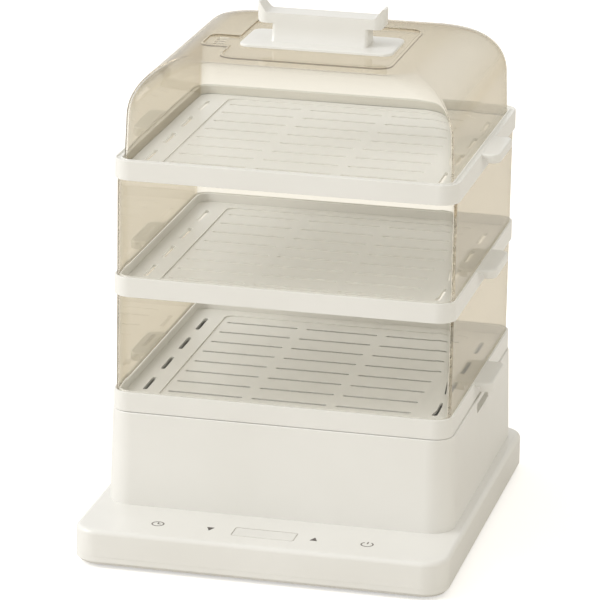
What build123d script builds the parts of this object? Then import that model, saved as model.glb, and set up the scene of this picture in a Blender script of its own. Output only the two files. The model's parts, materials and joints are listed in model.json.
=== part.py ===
"""Electric food steamer: a boiler base with a touch strip, three trays, two clear walls and a domed lid.

The frame has +X to the right, -Y towards the touch strip and +Z up. Its origin lies under the middle of
the base, on the surface that the rubber feet stand on. Sizes are in millimetres.
"""
import os
from math import cos, pi, radians, sin, sqrt, tan

from build123d import *

# ---------------------------------------------------------------- base slab
slab_side = 12.5
slab_back = 9.7
base_height = 32.6
base_corner = 23.0
base_wall = 2.5
base_top_round = 4.5
base_bottom_bevel = 3.5
cover_height = 8.0
cover_floor = 2.5
lip_height = 3.0
foot_height = 3.0
foot_radius = 9.0
foot_inset = 46.0
strip_depth = 75.3
# ---------------------------------------------------------------- tank on the slab
tank_height = 85.9
tank_margin = 1.5
tank_corner = 22.0
tank_flare = 2.5
tank_wall = 2.5
rim_thickness = 4.5
ledge_drop = 2.0
ledge_reach = 6.5
pocket_length = 54.0
pocket_height = 9.0
pocket_depth = 7.0
pocket_round = 3.0
# ---------------------------------------------------------------- water tub and heater
tub_wall = 1.8
tub_lift = 20.0
tub_draft = 2.0
tub_corner = 16.0
heater_radius = 58.0
heater_lip = 6.0
heater_thickness = 3.0
seal_thickness = 1.5
seal_margin = 1.0
spigot_depth = 4.0
element_width = 8.0
element_height = 6.0
element_ring = 36.0
element_gap_angle = 50.0
terminal_width = 4.0
terminal_angle = 8.0
terminal_length = 6.0
clamp_width = 14.0
clamp_thickness = 2.0
clamp_stud = 5.0
thermostat_radius = 8.0
fuse_radius = 2.5
fuse_length = 18.0
# ---------------------------------------------------------------- steam trays
tray_width = 309.0
tray_depth = 297.0
tray_corner = 17.0
smallest_corner = 1.0
tray_height = 18.3
skin = 1.9
inner_skin = 1.6
edge_break = 0.5
seat_depth = 8.0
skirt_depth = 6.0
seam = 0.4
floor_thickness = 2.8
field_drop = 1.0
field_side = 37.5
field_end = 21.0
field_corner = 8.0
slot_width = 4.0
slot_row_pitch = 30.6
slot_edge = 5.5
slot_web = 8.0
slots_per_row = 3
border_slot_length = 37.0
border_slot_pitch = 62.0
border_slot_inset = 22.0
border_slots = 4
rib_height = 3.0
rib_width = 1.6
rib_bite = 0.5
# ---------------------------------------------------------------- lifting ears
ear_length = 68.0
ear_reach = 15.8
ear_height = 8.0
ear_flange = 2.6
ear_wall = 2.2
ear_corner = 8.0
ear_round = 1.5
ear_mouth = 5.0
# ---------------------------------------------------------------- clear walls
tier_pitch = 106.6
wall_thickness = 2.5
wall_play = 0.35
# ---------------------------------------------------------------- clear lid
lid_height = 91.0
lid_play = 0.3
lid_wall = 2.2
lid_corner = 14.0
lid_top_corner = 24.0
lid_side_round = 46.0
lid_front_round = 37.0
lid_draft = 2.0
lid_sections = 6
panel_width = 152.0
panel_depth = 151.0
panel_corner = 12.0
panel_drop = 1.5
tab_reach = 27.0
tab_depth = 38.0
tab_shift = -16.0
tab_corner = 8.0
vent_length = 10.0
vent_width = 3.0
vent_pitch = 8.0
vents = 4
# ---------------------------------------------------------------- lid handle
plate_width = 140.0
plate_depth = 66.0
plate_thickness = 2.5
plate_corner = 10.0
grip_span = 98.0
grip_depth = 24.0
grip_thickness = 9.5
grip_clearance = 16.0
grip_round = 3.5
wing_reach = 10.0
wing_rise = 8.5
wing_thickness = 6.0
wing_lean = 1.0
grip_wall = 2.5
grip_end = 6.0
web_width = 90.0
web_corner = 3.0
web_bite = 0.5
# ---------------------------------------------------------------- touch strip and boards
window_width = 56.0
window_depth = 20.0
window_thickness = 1.6
window_corner = 2.0
window_ledge = 2.0
strip_middle = 32.0
touch_board_end = 12.5
touch_board_depth = 34.0
board_thickness = 1.6
touch_board_drop = 7.0
touch_pad = 11.0
arrow_key_x = 47.0
end_key_x = 92.5
board_post = 5.0
display_width = 50.0
display_depth = 14.0
display_height = 4.8
power_board_width = 96.0
power_board_depth = 62.0
power_board_lift = 5.0
power_board_side = 98.5
power_board_back = 82.5
relay_width = 22.0
relay_depth = 18.0
relay_height = 15.0
coil_width = 19.0
coil_height = 13.0
filter_radius = 6.0
cooling_slots = 7
cooling_side = 101.5
cooling_pitch = 9.0
cooling_width = 3.5
cooling_length = 40.0
wire_gap = 50.0
# ---------------------------------------------------------------- mains inlet
inlet_width = 30.0
inlet_height = 18.0
inlet_depth = 19.0
inlet_wall = 2.0
inlet_flange = 2.0
inlet_ear = 5.0
inlet_pin = 4.0
inlet_pin_width = 2.0
inlet_pin_pitch = 7.0
inlet_pin_step = 1.5
inlet_side = 78.5
inlet_corner = 3.0
# ---------------------------------------------------------------- fasteners and clearances
screw_radius = 1.5
screw_head_radius = 3.2
screw_head_height = 2.0
screw_play = 0.1
head_play = 0.3
boss_wall = 3.0
boss_bite = 8.0
boss_spare = 1.0
fit = 0.3

# Heights and places that follow from the sizes above
cover_top = foot_height + cover_height
deck = foot_height + base_height
deck_under = deck - base_wall
rim = deck + tank_height
tank_width = tray_width + 2 * tank_margin
tank_depth = tray_depth + 2 * tank_margin
base_width = tank_width + 2 * slab_side
base_depth = strip_depth + tank_depth + slab_back
stack_y = -base_depth / 2 + strip_depth + tank_depth / 2
strip_y = -base_depth / 2 + strip_middle
touch_board_width = 2 * (end_key_x + touch_board_end)
power_board_x = -base_width / 2 + power_board_side
power_board_y = base_depth / 2 - power_board_back
inlet_x = base_width / 2 - inlet_side
groove = wall_thickness + 2 * wall_play
wall_inset = skin + wall_play
nest_inset = skin + groove + inner_skin
floor_top = tray_height - seat_depth
field_width = tray_width - 2 * field_side
field_depth = tray_depth - 2 * field_end
slot_rows = int((field_depth - 2 * slot_edge - slot_width) // slot_row_pitch) + 1
slot_row_length = field_width - 2 * slot_edge
tub_bottom = deck + tub_lift
tub_floor = tub_bottom + tub_wall
spigot_bottom = tub_bottom - spigot_depth / 2
boss_radius = screw_radius + boss_wall
lid_inset = nest_inset + lid_play
lid_rim = rim + 2 * tier_pitch + floor_top
lid_top = lid_rim + lid_height
handle_seat = lid_top - panel_drop
handle_floor = handle_seat + plate_thickness
grip_under = handle_floor + grip_clearance


def block(width, depth, corner, low, high, x=0.0, y=0.0):
    """An upright block with rounded vertical corners between two heights."""
    outline = Pos(x, y, low) * RectangleRounded(width, depth, corner)
    return extrude(outline, high - low)


def slab_block(inset, low, high):
    """The slab's outline, moved in by `inset`."""
    return block(base_width - 2 * inset, base_depth - 2 * inset, base_corner - inset, low, high)


def tray_block(inset, low, high):
    """The trays' outline, moved in by `inset`; walls, tank rim and lid seats follow it."""
    corner = max(tray_corner - inset, smallest_corner)
    return block(tray_width - 2 * inset, tray_depth - 2 * inset, corner, low, high, y=stack_y)


def tank_section(inset, height):
    """The tank's outline at one height: it flares towards the slab."""
    flare = tank_flare * (rim - height) / tank_height
    width = tank_width + 2 * flare - 2 * inset
    depth = tank_depth + 2 * flare - 2 * inset
    return Pos(0, stack_y, height) * RectangleRounded(width, depth, tank_corner + flare - inset)


def tank_block(inset, low, high):
    """The flared tank between two heights, moved in by `inset`."""
    return loft([tank_section(inset, low), tank_section(inset, high)], ruled=True)


def post(x, y, radius, low, high):
    """An upright cylinder between two heights."""
    return Pos(x, y, (low + high) / 2) * Cylinder(radius, high - low)


def stud(x, y, width, low, high):
    """An upright square boss between two heights."""
    return Pos(x, y, (low + high) / 2) * Box(width, width, high - low)


def screw(x, y, head, tip):
    """A hexagon head screw that points up: `head` is the height under its head, `tip` its end."""
    hexagon = Pos(x, y, head - screw_head_height) * RegularPolygon(screw_head_radius, 6)
    return extrude(hexagon, screw_head_height) + post(x, y, screw_radius, head, tip)


def corner_places(width, depth, inset, y=0.0):
    """The four places that lie `inset` from the sides of a rectangle."""
    return [
        (side * (width / 2 - inset), y + end * (depth / 2 - inset))
        for side in (-1, 1)
        for end in (-1, 1)
    ]


def joined(solids):
    """Several separate solids as one group."""
    return Compound(children=[solid for piece in solids for solid in piece.solids()])


# ------------------------------------------------------------------------------------------ base slab
screws = corner_places(tank_width, tank_depth, tank_wall + boss_radius, stack_y)
feet = corner_places(base_width, base_depth, foot_inset)


def rubber_feet():
    """Four round feet under the cover."""
    return joined([post(x, y, foot_radius, 0, foot_height) for x, y in feet])


def screw_seat():
    """Height of the faces in the cover that the long screws' heads bear on."""
    return foot_height + screw_head_height + head_play


def board_posts():
    """The places of the power board's four posts."""
    places = corner_places(power_board_width, power_board_depth, board_post, power_board_y)
    return [(power_board_x + x, y) for x, y in places]


def base_cover():
    """The pan that closes the slab from below, with screw bosses, board posts and cooling slots."""
    pan = chamfer(slab_block(0, foot_height, cover_top).edges().group_by(Axis.Z)[0], base_bottom_bevel)
    pan -= slab_block(base_wall, foot_height + cover_floor, cover_top)
    lip = slab_block(base_wall + fit, foot_height + cover_floor, cover_top + lip_height)
    lip -= slab_block(2 * base_wall, foot_height + cover_floor, cover_top + lip_height)
    pan += lip
    for x, y in screws:
        pan += stud(x, y, 2 * (screw_head_radius + base_wall), foot_height, deck_under)
        pan -= post(x, y, screw_head_radius + head_play, foot_height, screw_seat())
        pan -= post(x, y, screw_radius + head_play, foot_height, deck_under)
    for x, y in board_posts():
        pan += stud(x, y, board_post, foot_height + cover_floor, board_floor())
    for index in range(cooling_slots):
        x = base_width / 2 - cooling_side + (index - (cooling_slots - 1) / 2) * cooling_pitch
        pan -= Pos(x, power_board_y, foot_height) * Box(cooling_width, cooling_length, 4 * cover_floor)
    return pan


def long_screws():
    """Four long screws that hold cover, housing and tank together, up into the tank's bosses."""
    return joined([screw(x, y, screw_seat(), deck + boss_bite) for x, y in screws])


def inlet_middle():
    """Height of the middle of the mains inlet."""
    return (cover_top + lip_height + deck_under) / 2


def base_housing():
    """The slab's upper shell: deck, walls, board posts, and the openings in deck and back wall."""
    shell = fillet(slab_block(0, cover_top, deck).edges().group_by(Axis.Z)[-1], base_top_round)
    shell -= slab_block(base_wall, cover_top, deck_under)
    for x, y in screws:
        shell -= post(x, y, screw_radius + head_play, deck_under, deck)
    for x, y in corner_places(touch_board_width, touch_board_depth, board_post, strip_y):
        shell += stud(x, y, board_post, touch_board_top(), deck_under)
    ledge = window_ledge
    opening = block(window_width, window_depth, window_corner, deck - window_thickness, deck, y=strip_y)
    light = Pos(0, strip_y, deck) * Box(window_width - 2 * ledge, window_depth - 2 * ledge, 4 * base_wall)
    wires = Pos(0, stack_y, deck) * Box(wire_gap, wire_gap, 4 * base_wall)
    hole = Pos(inlet_x, base_depth / 2, inlet_middle()) * Box(inlet_width, 4 * base_wall, inlet_height)
    return shell - opening - light - wires - hole


def display_window():
    """The window plate, flush with the deck on a ledge of its opening."""
    return block(
        window_width - 2 * fit, window_depth - 2 * fit, window_corner - fit,
        deck - window_thickness, deck, y=strip_y,
    )


def touch_board_top():
    """Height of the touch board's upper face, which bears on the housing's posts."""
    return deck_under - touch_board_drop + board_thickness


def touch_board():
    """The board that carries the touch keys, under the strip."""
    top = touch_board_top()
    middle = Pos(0, strip_y, top - board_thickness / 2)
    board = middle * Box(touch_board_width, touch_board_depth, board_thickness)
    for side in (-1, 1):
        for reach in (arrow_key_x, end_key_x):
            board += stud(side * reach, strip_y, touch_pad, top, deck_under)
    return board


def display_module():
    """The lit display on the touch board, just under the window."""
    top = touch_board_top()
    return Pos(0, strip_y, top + display_height / 2) * Box(display_width, display_depth, display_height)


def board_floor():
    """Height of the power board's underside, on the cover's posts."""
    return foot_height + cover_floor + power_board_lift


def power_board():
    """The power board with its relay, its coil and its filter capacitor in a row."""
    low = board_floor()
    top = low + board_thickness
    pitch = power_board_width / 3
    board = Pos(0, 0, low + board_thickness / 2) * Box(power_board_width, power_board_depth, board_thickness)
    board += Pos(-pitch, 0, top + relay_height / 2) * Box(relay_width, relay_depth, relay_height)
    board += Pos(0, 0, top + coil_height / 2) * Box(coil_width, coil_width, coil_height)
    board += post(pitch, 0, filter_radius, top, top + coil_height)
    return Pos(power_board_x, power_board_y, 0) * board


def power_inlet():
    """The recessed mains inlet in the slab's back wall, with its three blades."""
    back = base_depth / 2
    width = inlet_width - 2 * fit
    height = inlet_height - 2 * fit
    face = back - base_wall
    body = Pos(inlet_x, back - inlet_depth / 2, inlet_middle()) * Box(width, inlet_depth, height)
    flange_place = Pos(inlet_x, face - inlet_flange / 2, inlet_middle())
    body += flange_place * Box(inlet_width + 2 * inlet_ear, inlet_flange, height)
    mouth = Box(width - 2 * inlet_wall, inlet_depth - inlet_wall, height - 2 * inlet_wall)
    mouth = fillet(mouth.edges().filter_by(Axis.Y).group_by(Axis.Z)[-1], inlet_corner)
    body -= Pos(inlet_x, back - (inlet_depth - inlet_wall) / 2, inlet_middle()) * mouth
    for step in (-1, 0, 1):
        lift = inlet_pin_step if step == 0 else -inlet_pin_step
        blade = Box(inlet_pin_width, inlet_depth - 2 * inlet_wall, inlet_pin)
        reach = back - inlet_wall - (inlet_depth - 2 * inlet_wall) / 2
        body += Pos(inlet_x + step * inlet_pin_pitch, reach, inlet_middle() + lift) * blade
    return body


# ------------------------------------------------------------------------------------------ tank and boiler
def pocket(side, grow):
    """A finger pocket's form in one side of the tank, grown by `grow`."""
    top = rim - rim_thickness
    outer = tank_width / 2 + 2 * tank_flare
    inner = tank_width / 2 - pocket_depth - grow
    form = Box(outer - inner, pocket_length + 2 * grow, pocket_height + grow)
    form = fillet(form.edges().filter_by(Axis.X).group_by(Axis.Z)[0], pocket_round + grow)
    return Pos(side * (outer + inner) / 2, stack_y, top - (pocket_height + grow) / 2) * form


def tongue(low, high):
    """A ring of the clear walls' own section, which enters the skirt of the tray above."""
    return tray_block(wall_inset, low, high) - tray_block(wall_inset + wall_thickness, low, high)


def tank_housing():
    """The flared tank: outer walls, rim with its tongue, tub ledge, finger pockets and screw bosses."""
    edge = [tank_section(0, rim - edge_break), tank_section(edge_break, rim)]
    outer = tank_block(0, deck, rim - edge_break) + loft(edge, ruled=True)
    inside = tank_block(tank_wall, deck, rim - rim_thickness)
    shell = outer - inside
    for side in (-1, 1):
        shell += pocket(side, tank_wall) & outer
        shell -= pocket(side, 0)
    for x, y in screws:
        shell += stud(x, y, 2 * (boss_radius + edge_break), deck, deck + boss_bite + boss_wall) & outer
        shell -= post(x, y, screw_radius + screw_play, deck, deck + boss_bite + boss_spare)
    ledge = wall_inset + wall_thickness
    shell -= tray_block(ledge + ledge_reach, rim - rim_thickness, rim)
    shell -= tray_block(ledge, rim - ledge_drop, rim)
    return shell + tongue(rim, rim + skirt_depth)


def tub_block(inset, low, high):
    """The tub's drafted body between its floor and its flange, moved in by `inset`."""
    reach = wall_inset + wall_thickness + ledge_reach + fit + inset
    sections = []
    for height in (low, high):
        draft = tub_draft * (rim - height) / (rim - tub_bottom)
        width = tray_width - 2 * (reach + draft)
        depth = tray_depth - 2 * (reach + draft)
        sections.append(Pos(0, stack_y, height) * RectangleRounded(width, depth, tub_corner - inset))
    return loft(sections, ruled=True)


def water_tub():
    """The tub that holds the water: its flange hangs on the tank's ledge."""
    top = rim - fit
    tub = tub_block(0, tub_bottom, top)
    tub += tray_block(wall_inset + wall_thickness + fit, rim - ledge_drop, top)
    tub -= tub_block(tub_wall, tub_floor, top)
    return tub - post(0, stack_y, heater_radius - heater_lip, tub_bottom, tub_floor)


def heater_seal():
    """The soft ring between the heating plate and the tub's floor."""
    ring = post(0, stack_y, heater_radius + seal_margin, tub_floor, tub_floor + seal_thickness)
    return ring - post(0, stack_y, heater_radius - heater_lip, tub_floor, tub_floor + seal_thickness)


def heating_plate():
    """The heating plate: a disc on the seal, and a spigot through the tub's floor."""
    low = tub_floor + seal_thickness
    disc = post(0, stack_y, heater_radius, low, low + heater_thickness)
    disc = chamfer(disc.edges().group_by(Axis.Z)[-1], 2 * edge_break)
    return disc + post(0, stack_y, heater_radius - heater_lip - fit, spigot_bottom, low)


def heating_element():
    """The open ring of the element, pressed flat against the plate, with two terminals that point down."""
    bottom = spigot_bottom - element_height
    gap = Pos(0, stack_y - element_ring, bottom) * Box(
        2 * element_ring * sin(radians(element_gap_angle / 2)), 2 * element_width, 4 * element_height,
    )
    ring = post(0, stack_y, element_ring + element_width / 2, bottom, spigot_bottom)
    ring -= post(0, stack_y, element_ring - element_width / 2, bottom, spigot_bottom)
    ring -= gap
    for side in (-1, 1):
        angle = radians(element_gap_angle / 2 + terminal_angle)
        x = side * element_ring * sin(angle)
        y = stack_y - element_ring * cos(angle)
        ring += stud(x, y, terminal_width, bottom - terminal_length, bottom)
    return ring


def clamp_top():
    """Height of the clamp's upper face, which holds the element."""
    return spigot_bottom - element_height


def heater_clamp():
    """The strap that holds the element and the thermostat to the plate, with its two studs."""
    top = clamp_top()
    length = 2 * (heater_radius - heater_lip - clamp_stud)
    strap = Pos(0, stack_y, top - clamp_thickness / 2) * Box(length, clamp_width, clamp_thickness)
    for side in (-1, 1):
        strap += stud(side * (length - clamp_stud) / 2, stack_y, clamp_stud, top, spigot_bottom)
    return strap


def thermostat():
    """The thermostat, held between the clamp and the plate."""
    return post(0, stack_y, thermostat_radius, clamp_top(), spigot_bottom)


def thermal_fuse():
    """The thermal fuse, lying across the clamp beside the thermostat."""
    place = Pos((thermostat_radius + element_ring - element_width / 2) / 2, stack_y, clamp_top() + fuse_radius)
    return place * Rot(90, 0, 0) * Cylinder(fuse_radius, fuse_length)


# ------------------------------------------------------------------------------------------ steam trays
def slot_row_places():
    """The middles of the rows of slots across the field."""
    return [stack_y + (row - (slot_rows - 1) / 2) * slot_row_pitch for row in range(slot_rows)]


def floor_slots(level):
    """The slots of one tray: rows across the field, and a row along each side border."""
    outlines = []
    length = (slot_row_length - (slots_per_row - 1) * slot_web) / slots_per_row
    for y in slot_row_places():
        for index in range(slots_per_row):
            x = (index - (slots_per_row - 1) / 2) * (length + slot_web)
            outlines.append(Pos(x, y, 0) * Rectangle(length, slot_width))
    for side in (-1, 1):
        x = side * (tray_width / 2 - border_slot_inset)
        for index in range(border_slots):
            y = stack_y + (index - (border_slots - 1) / 2) * border_slot_pitch
            outlines.append(Pos(x, y, 0) * Rectangle(slot_width, border_slot_length))
    slots = Sketch() + outlines
    return Pos(0, 0, level) * extrude(slots, floor_top + seam)


def floor_ribs(level):
    """Stiffening ribs under the field, halfway between the rows of slots."""
    low = level + floor_top - floor_thickness - rib_height
    rib = Box(slot_row_length, rib_width, rib_height + rib_bite)
    middle = low + (rib_height + rib_bite) / 2
    return [Pos(0, y + slot_row_pitch / 2, middle) * rib for y in slot_row_places()[:-1]]


def tray(level):
    """A tray: a ring with a groove above and below, and a slotted floor between its inner skins."""
    top = level + tray_height
    floor_high = level + floor_top
    floor_low = floor_high - floor_thickness
    web_low = level + skirt_depth
    body = tray_block(0, level + seam, top)
    body -= tray_block(skin, floor_high, top) - tray_block(skin + groove, floor_high, top)
    body -= tray_block(nest_inset, floor_high, top)
    body -= tray_block(skin, level, web_low)
    body -= tray_block(nest_inset, web_low, floor_low)
    body -= block(field_width, field_depth, field_corner, floor_high - field_drop, floor_high, y=stack_y)
    for rib in floor_ribs(level):
        body += rib
    return body - floor_slots(level)


def ear(side, level):
    """One lifting ear: a flange flush with the ring's top and a lip that turns down, open at both ends."""
    top = level + tray_height
    face = tray_width / 2
    bottom = top - ear_height

    def form(inset, low, high):
        plan = Pos(face, stack_y, low) * Rectangle(2 * (ear_reach - inset), ear_length - 2 * inset)
        plan = fillet(plan.vertices(), ear_corner - inset)
        return extrude(plan, high - low)

    grip = chamfer(form(0, bottom, top).edges().group_by(Axis.Z)[-1], ear_round)
    grip -= form(ear_wall, bottom, top - ear_flange)
    for end in (-1, 1):
        mouth = Box(2 * ear_mouth, 4 * ear_wall, ear_height - ear_flange)
        place = Pos(face, stack_y + end * ear_length / 2, (bottom + top - ear_flange) / 2)
        grip -= place * mouth
    grip -= Pos(face - ear_reach, stack_y, top) * Box(2 * ear_reach, 2 * ear_length, 4 * ear_height)
    return grip if side > 0 else mirror(grip, Plane.YZ)


def tray_ears(level):
    """The two ears of a tray, which are moulded on the ring's side faces."""
    return joined([ear(side, level) for side in (-1, 1)])


# ------------------------------------------------------------------------------------------ walls and lid
def clear_wall(level):
    """A clear wall: it stands in the groove of the tray at `level` and carries the next tray."""
    low = level + floor_top
    high = level + tier_pitch + skirt_depth
    return tongue(low, high)


def dome_section(inset, height):
    """The lid's outline at one height, moved in by `inset`."""
    top = lid_top - inset
    draft = tan(radians(lid_draft)) * (height - lid_rim)

    def pull(radius):
        rise = max(height - (top - radius), 0.0)
        return radius - sqrt(max(radius * radius - rise * rise, 0.0))

    side = pull(lid_side_round - inset)
    front = pull(lid_front_round - inset)
    width = tray_width - 2 * (lid_inset + inset + draft + side)
    depth = tray_depth - 2 * (lid_inset + inset + draft + front)
    share = side / (lid_side_round - inset)
    corner = lid_corner - inset + (lid_top_corner - lid_corner) * share
    return Pos(0, stack_y, height) * RectangleRounded(width, depth, corner)


def dome(inset, low):
    """The lid's domed form from height `low` to its flat top, moved in by `inset`."""
    radius = lid_side_round - inset
    spring = lid_top - inset - radius
    sides = loft([dome_section(inset, low), dome_section(inset, spring)], ruled=True)
    heights = [spring + radius * sin(step * pi / 2 / lid_sections) for step in range(lid_sections + 1)]
    crown = loft([dome_section(inset, height) for height in heights])
    return sides + crown


def panel_block(grow, low, high):
    """The shallow panel in the lid's top with its side tab, grown by `grow`."""
    panel = block(panel_width + 2 * grow, panel_depth + 2 * grow, panel_corner + grow, low, high, y=stack_y)
    reach = tab_reach + panel_corner
    x = -panel_width / 2 - tab_reach + reach / 2
    tab = block(reach + 2 * grow, tab_depth + 2 * grow, tab_corner + grow, low, high, x=x, y=stack_y + tab_shift)
    return panel + tab


def handle_screw_places():
    """Where the handle's two screws pass through the lid."""
    return [(side * (web_width - grip_end) / 2, stack_y) for side in (-1, 1)]


def lid_shell():
    """The clear lid: a domed shell with the handle's panel, screw holes and steam vents."""
    hollow = dome(lid_wall, lid_rim) - panel_block(lid_wall, lid_top - lid_wall - panel_drop, lid_top)
    shell = dome(0, lid_rim) - hollow
    shell -= panel_block(0, lid_top - panel_drop, lid_top)
    for x, y in handle_screw_places():
        shell -= post(x, y, screw_radius + head_play, lid_top - 4 * lid_wall, lid_top)
    x = -panel_width / 2 - tab_reach / 2
    for index in range(vents):
        y = stack_y + tab_shift + (index - (vents - 1) / 2) * vent_pitch
        shell -= Pos(x, y, lid_top) * Box(vent_length, vent_width, 4 * lid_wall)
    return shell


def handle_plate():
    """The plate under the grip, lying in the lid's panel."""
    plate = block(plate_width, plate_depth, plate_corner, handle_seat, handle_floor, y=stack_y)
    for x, y in handle_screw_places():
        plate -= post(x, y, screw_radius + head_play, handle_seat, handle_floor)
    return plate


def handle_grip():
    """The grip: an upright web, hollow from below, under a bar whose ends turn up into wings."""
    low = grip_under
    high = low + grip_thickness
    half = grip_span / 2
    tip = half + wing_reach
    top = high + wing_rise
    outline = Polyline(
        (-tip, top), (-tip + wing_lean, low), (tip - wing_lean, low), (tip, top),
        (tip - wing_thickness / 2, top), (half, high), (-half, high), (-tip + wing_thickness / 2, top),
        close=True,
    )
    profile = make_face(outline)
    profile = fillet(profile.vertices().group_by(Axis.Y)[0], grip_round)
    profile = fillet(profile.vertices().group_by(Axis.Y)[-1], 2 * edge_break)
    bar = Pos(0, stack_y, 0) * extrude(Plane.XZ * profile, grip_depth / 2, both=True)
    bar += block(web_width, grip_depth, web_corner, handle_floor, low + web_bite, y=stack_y)
    rise = high - grip_wall - handle_floor
    hollow = Box(web_width - 2 * grip_end, grip_depth - 2 * grip_wall, rise)
    bar -= Pos(0, stack_y, handle_floor + rise / 2) * hollow
    for x, y in handle_screw_places():
        bar -= post(x, y, screw_radius + screw_play, handle_floor, handle_floor + boss_bite + boss_spare)
    return bar


def handle_screws():
    """Two screws from inside the lid into the solid ends of the grip's web."""
    head = lid_top - lid_wall - panel_drop
    return joined([screw(x, y, head, handle_floor + boss_bite) for x, y in handle_screw_places()])


levels = [rim + index * tier_pitch for index in range(3)]
pieces = {
    "rubber_feet": rubber_feet(),
    "base_cover": base_cover(),
    "long_screws": long_screws(),
    "base_housing": base_housing(),
    "display_window": display_window(),
    "touch_board": touch_board(),
    "display_module": display_module(),
    "power_board": power_board(),
    "power_inlet": power_inlet(),
    "tank_housing": tank_housing(),
    "water_tub": water_tub(),
    "heater_seal": heater_seal(),
    "heating_plate": heating_plate(),
    "heating_element": heating_element(),
    "heater_clamp": heater_clamp(),
    "thermostat": thermostat(),
    "thermal_fuse": thermal_fuse(),
    "lid_shell": lid_shell(),
    "handle_plate": handle_plate(),
    "handle_grip": handle_grip(),
    "handle_screws": handle_screws(),
}
for number, level in enumerate(levels, 1):
    pieces[f"tray_{number}"] = tray(level)
    pieces[f"tray_{number}_ears"] = tray_ears(level)
for number, level in enumerate(levels[:2], 1):
    pieces[f"wall_{number}"] = clear_wall(level)

os.makedirs("parts", exist_ok=True)
for node, piece in pieces.items():
    export_step(piece, f"parts/{node}.step")
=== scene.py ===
"""Electric food steamer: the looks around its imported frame.

Sizes are in millimetres and angles in degrees, unless a name or a comment says otherwise.
+X is right, -Y is towards the touch strip, +Z is up.
"""
import json
import math

import bmesh
import bpy
from mathutils import Matrix, Vector


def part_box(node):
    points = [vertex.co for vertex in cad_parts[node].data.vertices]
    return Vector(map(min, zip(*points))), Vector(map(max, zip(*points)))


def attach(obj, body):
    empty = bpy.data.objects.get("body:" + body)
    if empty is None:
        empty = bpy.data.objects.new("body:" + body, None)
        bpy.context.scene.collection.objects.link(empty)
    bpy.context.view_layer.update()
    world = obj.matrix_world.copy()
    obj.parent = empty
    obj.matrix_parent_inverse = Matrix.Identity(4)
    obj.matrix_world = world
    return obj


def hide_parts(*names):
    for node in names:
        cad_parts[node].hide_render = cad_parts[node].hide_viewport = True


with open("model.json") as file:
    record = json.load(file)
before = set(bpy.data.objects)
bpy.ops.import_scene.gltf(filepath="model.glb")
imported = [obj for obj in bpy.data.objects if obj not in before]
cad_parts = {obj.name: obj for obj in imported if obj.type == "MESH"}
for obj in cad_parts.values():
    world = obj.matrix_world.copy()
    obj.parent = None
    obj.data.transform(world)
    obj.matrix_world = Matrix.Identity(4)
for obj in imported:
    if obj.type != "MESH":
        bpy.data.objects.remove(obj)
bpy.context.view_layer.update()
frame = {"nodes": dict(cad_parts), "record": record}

MM = 0.001
PAST = 5.0  # how far a cutter reaches past the surface that it opens
SMOOTH_UP_TO = math.radians(35)  # edges that turn by more are sharp


# ---------------------------------------------------------------- places from the frame
def span(node):
    """Lowest and highest corner of a node, in millimetres."""
    low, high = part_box(node)
    return low / MM, high / MM


housing_low, housing_high = span("base_housing")
tray_low, tray_high = span("tray_1")
lid_low, lid_high = span("lid_shell")
plate_low, plate_high = span("handle_plate")
grip_low, grip_high = span("handle_grip")
window_low, window_high = span("display_window")
inlet_low, inlet_high = span("power_inlet")

# the slab
BASE_WIDTH = housing_high.x - housing_low.x
BASE_DEPTH = housing_high.y - housing_low.y
BASE_CORNER = 23.0
COVER_TOP = 11.0
DECK = housing_high.z

# the trays and all that is stacked on them; their heights are above a tray's own level
STACK_Y = (tray_low.y + tray_high.y) / 2
TRAY_WIDTH = tray_high.x - tray_low.x
TRAY_DEPTH = tray_high.y - tray_low.y
TRAY_CORNER = 17.0
TRAY_HEIGHT = 18.3
SEAM = 0.4
LEVELS = [span(f"tray_{number}")[0].z - SEAM for number in (1, 2, 3)]
RIM = LEVELS[0]
RING_WALL = 1.9
GROOVE = 3.2
NEST = 6.7
GROOVE_FLOOR = 17.3  # drawn higher than it is, or dark lines stand in the clear walls
SKIRT = 6.0

# the slotted floor of a tray
FLOOR_TOP = 10.3
FLOOR_THICK = 2.8
FIELD_DROP = 1.0
FIELD_WIDTH = 234.0
FIELD_DEPTH = 255.0
FIELD_CORNER = 8.0
SLOT = 4.0

# the clear walls
WALL = 2.5
WALL_INSET = 2.25


# ---------------------------------------------------------------- mesh tools
def rounded(corners, steps=4, closed=True):
    """Rounds the corners (inset, height, radius) of a section; gives (inset, height) points."""
    points = []
    count = len(corners)
    for index, (u, v, radius) in enumerate(corners):
        here = Vector((u, v))
        if radius <= 0 or (not closed and index in (0, count - 1)):
            points.append((u, v))
            continue
        before = Vector(corners[index - 1][:2]) - here
        after = Vector(corners[(index + 1) % count][:2]) - here
        before.normalize()
        after.normalize()
        half = before.angle(after) / 2
        middle = here + (before + after).normalized() * radius / math.sin(half)
        start = here + before * radius / math.tan(half) - middle
        end = here + after * radius / math.tan(half) - middle
        turn = start.angle_signed(end)
        for step in range(steps + 1):
            spot = middle + Matrix.Rotation(-turn * step / steps, 2) @ start
            points.append((spot.x, spot.y))
    return points


def outline(width, depth, corner, x=0.0, y=0.0, steps=10):
    """A rounded rectangle's points, counter-clockwise."""
    points = []
    for quarter, (side, end) in enumerate(((1, 1), (-1, 1), (-1, -1), (1, -1))):
        for step in range(steps + 1):
            angle = (quarter + step / steps) * math.pi / 2
            points.append((
                x + side * (width / 2 - corner) + corner * math.cos(angle),
                y + end * (depth / 2 - corner) + corner * math.sin(angle),
            ))
    return points


def lifted(points, z):
    """The same points at one height."""
    return [(x, y, z) for x, y in points]


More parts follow.
